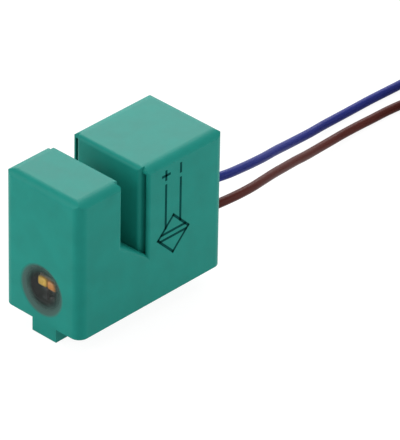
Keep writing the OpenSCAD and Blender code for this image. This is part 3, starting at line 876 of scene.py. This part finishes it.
def resin_haze(look, green):
    """Haze on the resin with a painted reflection of the green wall, thicker low down and towards the border,
    where it turns to the green of the wall.
    """
    material, tree, shader = new_material("resin_haze")
    place = node(tree, "ShaderNodeTexCoord").outputs["Object"]
    height = (LENS_LOW.z + LENS_HIGH.z) / 2
    edge = (LENS_HIGH.z - LENS_LOW.z) / 2
    shift = node(tree, "ShaderNodeMapping", {"Vector": place, "Location": (0, 0, -height)})
    centred = shift.outputs["Vector"]
    flat = node(tree, "ShaderNodeVectorMath", {0: centred, 1: (0, 1, 1)}, operation="MULTIPLY")
    reach = node(tree, "ShaderNodeVectorMath", {0: flat.outputs["Vector"]}, operation="LENGTH")
    outward = node(
        tree, "ShaderNodeMapRange",
        {"Value": reach.outputs["Value"], "From Min": edge - look.border, "From Max": edge}).outputs["Result"]
    lean = node(
        tree, "ShaderNodeVectorMath", {0: centred, 1: (0, HAZE_AND_REFLECTION_LEFT / edge, -HAZE_AND_REFLECTION_LOW / edge)},
        operation="DOT_PRODUCT")
    cover = node(
        tree, "ShaderNodeMapRange",
        {"Value": math_node(tree, "ADD", outward, lean.outputs["Value"]), "From Max": HAZE_AND_REFLECTION_FULL},
        interpolation_type="SMOOTHSTEP")
    # Painted reflection of the wall: the haze colour in the middle, then the rim colour, then the housing's
    # green at the border
    colour = ramp(tree, outward, ((0.0, look.haze_and_wall_reflection), (0.8, look.rim), (1.0, green)))
    tree.links.new(colour, shader.inputs["Base Color"])
    tree.links.new(cover.outputs["Result"], shader.inputs["Alpha"])
    shader.inputs["Roughness"].default_value = 0.5
    shader.inputs["Specular IOR Level"].default_value = 0.09
    return material


def window_dish(look):
    """Rings of the window's shallow dish, from middle to border, as radius and depth below the face."""
    edge = (LENS_HIGH.z - LENS_LOW.z) / 2
    rings = [(share * edge, look.recess) for share in DISH_MIDDLE]
    for step in range(1, DISH_STEPS + 1):
        climb = step / DISH_STEPS
        rings.append((edge - 0.5 * look.border * (1 - climb), look.recess - look.rise * climb ** 2))
    return rings


def window_place():
    """Turn and place of the window's axis, from its face into the housing."""
    middle = Vector((HOUSING_LOW.x, 0, (LENS_LOW.z + LENS_HIGH.z) / 2))
    return Matrix.Translation(middle) @ Matrix.Rotation(math.radians(90), 4, "Y")


def make_lens(name, resin, look):
    """Resin plug with a shallow dish that climbs at its border, let into the housing's wall all round."""
    rings = window_dish(look)
    outer = rings[-1][0] + LENS_SINK
    rings += [(outer, rings[-1][1]), (outer, LENS_HIGH.x - HOUSING_LOW.x + LENS_SINK)]
    points, faces = lathe(rings, LENS_SIDES, window_place())
    return mesh_object(name, points, faces, [resin], math.radians(35))


def make_haze_and_wall_reflection(name, haze_and_wall_reflection, look):
    """Thin skin over the window's dish, carrying the haze and its painted reflection of the wall."""
    dish = window_dish(look)
    skin = [(radius, depth - HAZE_GAP - HAZE_THICKNESS) for radius, depth in dish]
    skin += [(radius, depth - HAZE_GAP) for radius, depth in reversed(dish)]
    points, faces = lathe(skin, LENS_SIDES, window_place())
    return mesh_object(name, points, faces, [haze_and_wall_reflection], math.radians(35))


def make_lamp(name, look):
    """Two-colour lamp: a pale base and two tinted domes."""
    base = moulded("lamp_base", (0.35, 0.3, 0.22), 0.5, 0.05 * MM)
    yellow = moulded("lamp_yellow", look.yellow, 0.3, 0.1 * MM, broad=0.5 * MM, swing=0.2, level=0.5)
    orange = moulded("lamp_orange", look.orange, 0.3, 0.1 * MM, broad=0.5 * MM, swing=0.2, level=0.5)
    made = bmesh.new()
    deck = LAMP_HIGH.x - LAMP_BASE
    soft_block(made, (deck, LAMP_LOW.y, LAMP_LOW.z), LAMP_HIGH, 0.06 * MM)
    spans = ((LAMP_GAP / 2, LAMP_HIGH.y - LAMP_INSET), (LAMP_LOW.y + LAMP_INSET, -LAMP_GAP / 2))
    for material, (low_y, high_y) in enumerate(spans, start=1):
        soft_block(made, (LAMP_LOW.x, low_y, LAMP_LOW.z + LAMP_INSET),
                   (deck + LAMP_SINK, high_y, LAMP_HIGH.z - LAMP_INSET), 0.3 * MM, 4, material)
    return bmesh_object(name, made, [base, yellow, orange])


# Base

THREAD_PITCH = 0.5 * MM
THREAD_DEPTH = 0.25 * MM
THREAD_MINOR = 1.25 * MM
THREAD_LENGTH = 4.8 * MM
THREAD_MOUTH = 0.35 * MM
THREAD_STEPS = 12
THREAD_POINT = 0.2 * MM
INSERT_HUB = 0.05 * MM
INSERT_GROOVE = 0.3 * MM
INSERT_EDGE = 0.08 * MM
INSERT_SIDES = 72


class SENSOR_OT_base(bpy.types.Operator):
    """Turn the brass insert with its fixing thread"""

    bl_idname = "sensor.base"
    bl_label = "Base"

    def execute(self, context):
        brass = metal("turned_brass", (0.62, 0.42, 0.13), 0.28, 0.06 * MM)
        fitted(make_insert("brass_insert", brass), "brass", "threaded_insert")
        return {"FINISHED"}


def thread_reach(height):
    """Radius of the threaded wall at a height, as a function of the angle."""
    def reach(angle):
        phase = (height / THREAD_PITCH + angle / (2 * math.pi)) % 1.0
        groove = min(max(1.25 - 2.5 * abs(phase - 0.5), 0.0), 1.0)
        mouth = THREAD_MINOR + THREAD_MOUTH - height
        return max(THREAD_MINOR + THREAD_DEPTH * groove, mouth)
    return reach


def make_insert(name, brass):
    """Brass insert with a helical thread, a countersunk mouth and a retaining groove."""
    outer = (INSERT_HIGH.y - INSERT_LOW.y) / 2
    top = INSERT_HIGH.z
    waist = (top - INSERT_GROOVE) / 2
    rings = [(INSERT_HUB, THREAD_LENGTH + THREAD_POINT), (THREAD_MINOR, THREAD_LENGTH)]
    count = round(THREAD_LENGTH / THREAD_PITCH * THREAD_STEPS)
    for step in range(count - 1, -1, -1):
        height = THREAD_LENGTH * step / count
        rings.append((thread_reach(height), height))
    rings += [(outer - INSERT_EDGE, 0.0), (outer, INSERT_EDGE), (outer, waist),
              (outer - INSERT_GROOVE, waist), (outer - INSERT_GROOVE, waist + INSERT_GROOVE),
              (outer, waist + INSERT_GROOVE), (outer, top - INSERT_EDGE), (outer - INSERT_EDGE, top),
              (INSERT_HUB, top)]
    points, faces = lathe(rings, INSERT_SIDES, Matrix.Identity(4))
    return mesh_object(name, points, faces, [brass], math.radians(30))


# Circuit

class SENSOR_OT_circuit(bpy.types.Operator):
    """Finish the circuit board, its small parts and the potting"""

    bl_idname = "sensor.circuit"
    bl_label = "Circuit"

    def execute(self, context):
        resin = moulded("potting_resin", (0.03, 0.042, 0.038), 0.35, 0.2 * MM, swing=0.12, level=0.4)
        dress(resin, "potting")
        film = moulded("board_film", (0.012, 0.018, 0.016), 0.4, 0.15 * MM, broad=1 * MM, swing=0.2)
        dress(film, "circuit_board")
        epoxy = moulded("chip_epoxy", (0.018, 0.018, 0.019), 0.55, 0.08 * MM, broad=1 * MM)
        dress(epoxy, "oscillator_chip", "output_transistor", "protection_diode")
        dress(tinned_wire(), "lead_conductors")
        dress(metal("bright_solder", (0.6, 0.6, 0.6), 0.2, 0.2 * MM), "solder_joints")
        glaze = moulded("resistor_glaze", (0.02, 0.024, 0.023), 0.4, 0.08 * MM, broad=0.5 * MM, swing=0.15)
        fitted(chip_parts("resistor_chips", "resistors", glaze), "chip_black", "resistors")
        ceramic = moulded("capacitor_ceramic", (0.3, 0.19, 0.09), 0.45, 0.06 * MM, broad=0.5 * MM, swing=0.1)
        fitted(chip_parts("capacitor_chips", "capacitors", ceramic), "chip_ceramic", "capacitors")
        return {"FINISHED"}


def chip_tree():
    """Geometry nodes that put a capped chip at each point, turned as the point says."""
    name = "capped_chips"
    if name in bpy.data.node_groups:
        return bpy.data.node_groups[name]
    tree, given, result = growing_tree(name, (
        ("Body Size", "Vector"), ("Cap Size", "Vector"), ("Cap Place", "Vector"),
        ("Body Material", "Material"), ("Cap Material", "Material")))

    def block(size, material):
        box = node(tree, "GeometryNodeMeshCube", {"Size": given.outputs[size]})
        return node(
            tree, "GeometryNodeSetMaterial",
            {"Geometry": box.outputs["Mesh"], "Material": given.outputs[material]}).outputs["Geometry"]

    chip = node(tree, "GeometryNodeJoinGeometry")
    tree.links.new(block("Body Size", "Body Material"), chip.inputs["Geometry"])
    for side in (-1.0, 1.0):
        shift = node(tree, "ShaderNodeVectorMath", {0: given.outputs["Cap Place"]}, operation="SCALE")
        shift.inputs["Scale"].default_value = side
        cap = node(
            tree, "GeometryNodeTransform",
            {"Geometry": block("Cap Size", "Cap Material"), "Translation": shift.outputs["Vector"]})
        tree.links.new(cap.outputs["Geometry"], chip.inputs["Geometry"])
    points = node(tree, "GeometryNodeMeshToPoints", {"Mesh": given.outputs["Geometry"]})
    turn = node(tree, "GeometryNodeInputNamedAttribute", {"Name": "turn"}, data_type="FLOAT_VECTOR")
    facing = node(tree, "FunctionNodeEulerToRotation", {"Euler": turn.outputs["Attribute"]})
    placed = node(
        tree, "GeometryNodeInstanceOnPoints",
        {"Points": points.outputs["Points"], "Instance": chip.outputs["Geometry"],
         "Rotation": facing.outputs["Rotation"]})
    plain = node(tree, "GeometryNodeRealizeInstances", {"Geometry": placed.outputs["Instances"]})
    tree.links.new(plain.outputs["Geometry"], result.inputs["Geometry"])
    return tree


def islands(cad_node):
    """Lowest and highest corners of each separate solid in a CAD node."""
    copy = bmesh.new()
    copy.from_mesh(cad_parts[cad_node].data)
    bmesh.ops.remove_doubles(copy, verts=copy.verts, dist=0.001 * MM)
    left, found = set(copy.verts), []
    while left:
        reached = [left.pop()]
        for spot in reached:
            for side in spot.link_edges:
                other = side.other_vert(spot)
                if other in left:
                    left.remove(other)
                    reached.append(other)
        spots = [spot.co for spot in reached]
        found.append((Vector(min(spot[axis] for spot in spots) for axis in range(3)),
                      Vector(max(spot[axis] for spot in spots) for axis in range(3))))
    copy.free()
    return sorted(found, key=lambda box: tuple(box[0]))


# Length of a chip's cap as a share of the chip's, and the body's width and height as shares of the caps'
CAP_SHARE = 0.2
BODY_WIDTH = 0.96
BODY_HEIGHT = 0.92


def chip_parts(name, cad_node, body):
    """Capped chips in the places of a CAD node's solids, as one piece."""
    caps = shared_material("dull_tin", lambda: metal("dull_tin", (0.1, 0.11, 0.105), 0.6, 0.05 * MM))
    places, turns = [], []
    for low, high in islands(cad_node):
        size = high - low
        places.append((low + high) / 2)
        thin = min(range(3), key=lambda axis: size[axis])
        long = max(range(3), key=lambda axis: size[axis])
        upright = thin == 0
        turns.append((0, math.radians(-90), 0) if upright else (0, 0, math.radians(0 if long == 0 else 90)))
        extent = sorted(size)
    # All the chips of a node have one size
    height, width, length = extent
    cap = CAP_SHARE * length
    mesh = bpy.data.meshes.new(f"{name}_places")
    mesh.from_pydata([tuple(place) for place in places], [], [])
    turn = mesh.attributes.new("turn", "FLOAT_VECTOR", "POINT")
    for index, angles in enumerate(turns):
        turn.data[index].vector = angles
    return grown(
        name, mesh, chip_tree(),
        {"Body Size": (length - 2 * cap, BODY_WIDTH * width, BODY_HEIGHT * height),
         "Cap Size": (cap, width, height), "Cap Place": ((length - cap) / 2, 0, 0),
         "Body Material": body, "Cap Material": caps},
        math.radians(30))


class SENSOR_OT_coils(bpy.types.Operator):
    """Finish the cores, formers and windings in the two arms"""

    bl_idname = "sensor.coils"
    bl_label = "Coils"

    def execute(self, context):
        dress(moulded("ferrite", (0.042, 0.042, 0.045), 0.6, 0.05 * MM, broad=1 * MM, swing=0.1),
              "front_core", "rear_core")
        dress(moulded("former_plastic", (0.66, 0.6, 0.46), 0.5, 0.08 * MM, broad=1 * MM),
              "front_former", "rear_former")
        dress(metal("enamelled_copper", (0.5, 0.18, 0.06), 0.35, 0.1 * MM),
              "front_winding", "rear_winding", "front_coil_wires", "rear_coil_wires")
        return {"FINISHED"}


# Stage

FLOOR_HALF = 3.0
# Direction to each light, its distance and its width and height, in metres
LIGHTS = {
    "left": ((-0.72, 0.62, 0.3), 0.5, 0.35, 0.35),
    "right": ((0.66, -0.74, 0.12), 0.5, 0.35, 0.35),
    "back": ((0.6, 0.59, 0.54), 0.5, 0.45, 0.3),
    "top": ((-0.05, 0.05, 1.0), 0.5, 0.4, 0.4),
    "front": ((-0.6, -0.7, 0.35), 0.5, 0.4, 0.4),
}


class SENSOR_OT_stage(bpy.types.Operator):
    """Lay the floor and set the lights"""

    bl_idname = "sensor.stage"
    bl_label = "Stage"

    def execute(self, context):
        settings = context.scene.fork_sensor.stage
        context.scene.view_settings.view_transform = "Standard"
        corners = [(-FLOOR_HALF, -FLOOR_HALF, FLOOR_Z), (FLOOR_HALF, -FLOOR_HALF, FLOOR_Z),
                   (FLOOR_HALF, FLOOR_HALF, FLOOR_Z), (-FLOOR_HALF, FLOOR_HALF, FLOOR_Z)]
        mesh_object("floor", corners, [(0, 1, 2, 3)], [floor_white()])
        middle = Vector((0, 0, HOUSING_HIGH.z / 2))
        for name, (direction, distance, width, height) in LIGHTS.items():
            power = getattr(settings, name)
            add_light(name, Vector(direction).normalized(), distance, (width, height), power, middle)
        light_world(context.scene, settings.ambient)
        return {"FINISHED"}


def add_light(name, direction, distance, size, power, middle):
    """Soft rectangular light that faces the sensor."""
    data = bpy.data.lights.new(f"{name}_light", "AREA")
    data.shape = "RECTANGLE"
    data.size, data.size_y = size
    data.energy = power
    lamp = bpy.data.objects.new(f"{name}_light", data)
    turn = (-direction).to_track_quat("-Z", "Y").to_matrix().to_4x4()
    lamp.matrix_world = Matrix.Translation(middle + direction * distance) @ turn
    bpy.context.scene.collection.objects.link(lamp)


def seen_directly(tree):
    """1 where a surface is seen by the camera, or in metal or glass, and 0 where it only lights others."""
    path = node(tree, "ShaderNodeLightPath")
    either = math_node(tree, "MAXIMUM", path.outputs["Is Camera Ray"], path.outputs["Is Glossy Ray"])
    return math_node(tree, "MAXIMUM", either, path.outputs["Is Transmission Ray"])


# Grey of the floor where it lights the sensor, and how much of what the camera sees takes shadows
FLOOR_GREY = 0.8
SHADOW_SHARE = 0.16


def floor_white():
    """White floor that keeps a soft share of the shadows on it."""
    material, tree, shader = new_material("floor_white")
    tree.nodes.remove(shader)
    diffuse = node(tree, "ShaderNodeBsdfDiffuse", {"Color": (FLOOR_GREY, FLOOR_GREY, FLOOR_GREY, 1)})
    dim = node(tree, "ShaderNodeBsdfDiffuse", {"Color": (SHADOW_SHARE, SHADOW_SHARE, SHADOW_SHARE, 1)})
    glow = node(tree, "ShaderNodeEmission", {"Strength": 1.0 - 0.5 * SHADOW_SHARE})
    pale = node(tree, "ShaderNodeAddShader", {0: dim.outputs["BSDF"], 1: glow.outputs["Emission"]})
    mix = node(
        tree, "ShaderNodeMixShader",
        {"Fac": seen_directly(tree), 1: diffuse.outputs["BSDF"], 2: pale.outputs["Shader"]})
    tree.links.new(mix.outputs["Shader"], tree.nodes["Material Output"].inputs["Surface"])
    return material


def light_world(scene, ambient):
    """White surroundings, with a plain level of light from all round."""
    world = bpy.data.worlds.new("surroundings")
    world.use_nodes = True
    scene.world = world
    tree = world.node_tree
    strength = node(
        tree, "ShaderNodeMapRange", {"Value": seen_directly(tree), "To Min": ambient, "To Max": 1.0})
    tree.links.new(strength.outputs["Result"], tree.nodes["Background"].inputs["Strength"])
    tree.nodes["Background"].inputs["Color"].default_value = (1, 1, 1, 1)


# Panel and registration

MAKERS = (
    SENSOR_OT_camera, SENSOR_OT_leads, SENSOR_OT_housing, SENSOR_OT_window, SENSOR_OT_base,
    SENSOR_OT_circuit, SENSOR_OT_coils, SENSOR_OT_stage,
)


class SENSOR_PT_panel(bpy.types.Panel):
    """Makes the sensor's pieces one by one"""

    bl_idname = "SENSOR_PT_panel"
    bl_label = "Fork Sensor"
    bl_space_type = "VIEW_3D"
    bl_region_type = "UI"
    bl_category = "Fork Sensor"

    def draw(self, context):
        for maker in MAKERS:
            self.layout.operator(maker.bl_idname)


CLASSES = (
    CameraSettings, LeadSettings, HousingSettings, WindowSettings, StageSettings, SensorSettings,
    *MAKERS, SENSOR_PT_panel,
)


def register():
    """Registers the classes and the scene's settings."""
    for kind in CLASSES:
        bpy.utils.register_class(kind)
    bpy.types.Scene.fork_sensor = PointerProperty(type=SensorSettings)


def unregister():
    """Takes the classes and settings away again."""
    del bpy.types.Scene.fork_sensor
    for kind in reversed(CLASSES):
        bpy.utils.unregister_class(kind)


def main():
    """Makes every piece in order."""
    register()
    for maker in MAKERS:
        group, name = maker.bl_idname.split(".")
        getattr(getattr(bpy.ops, group), name)()


if __name__ == "__main__":
    main()
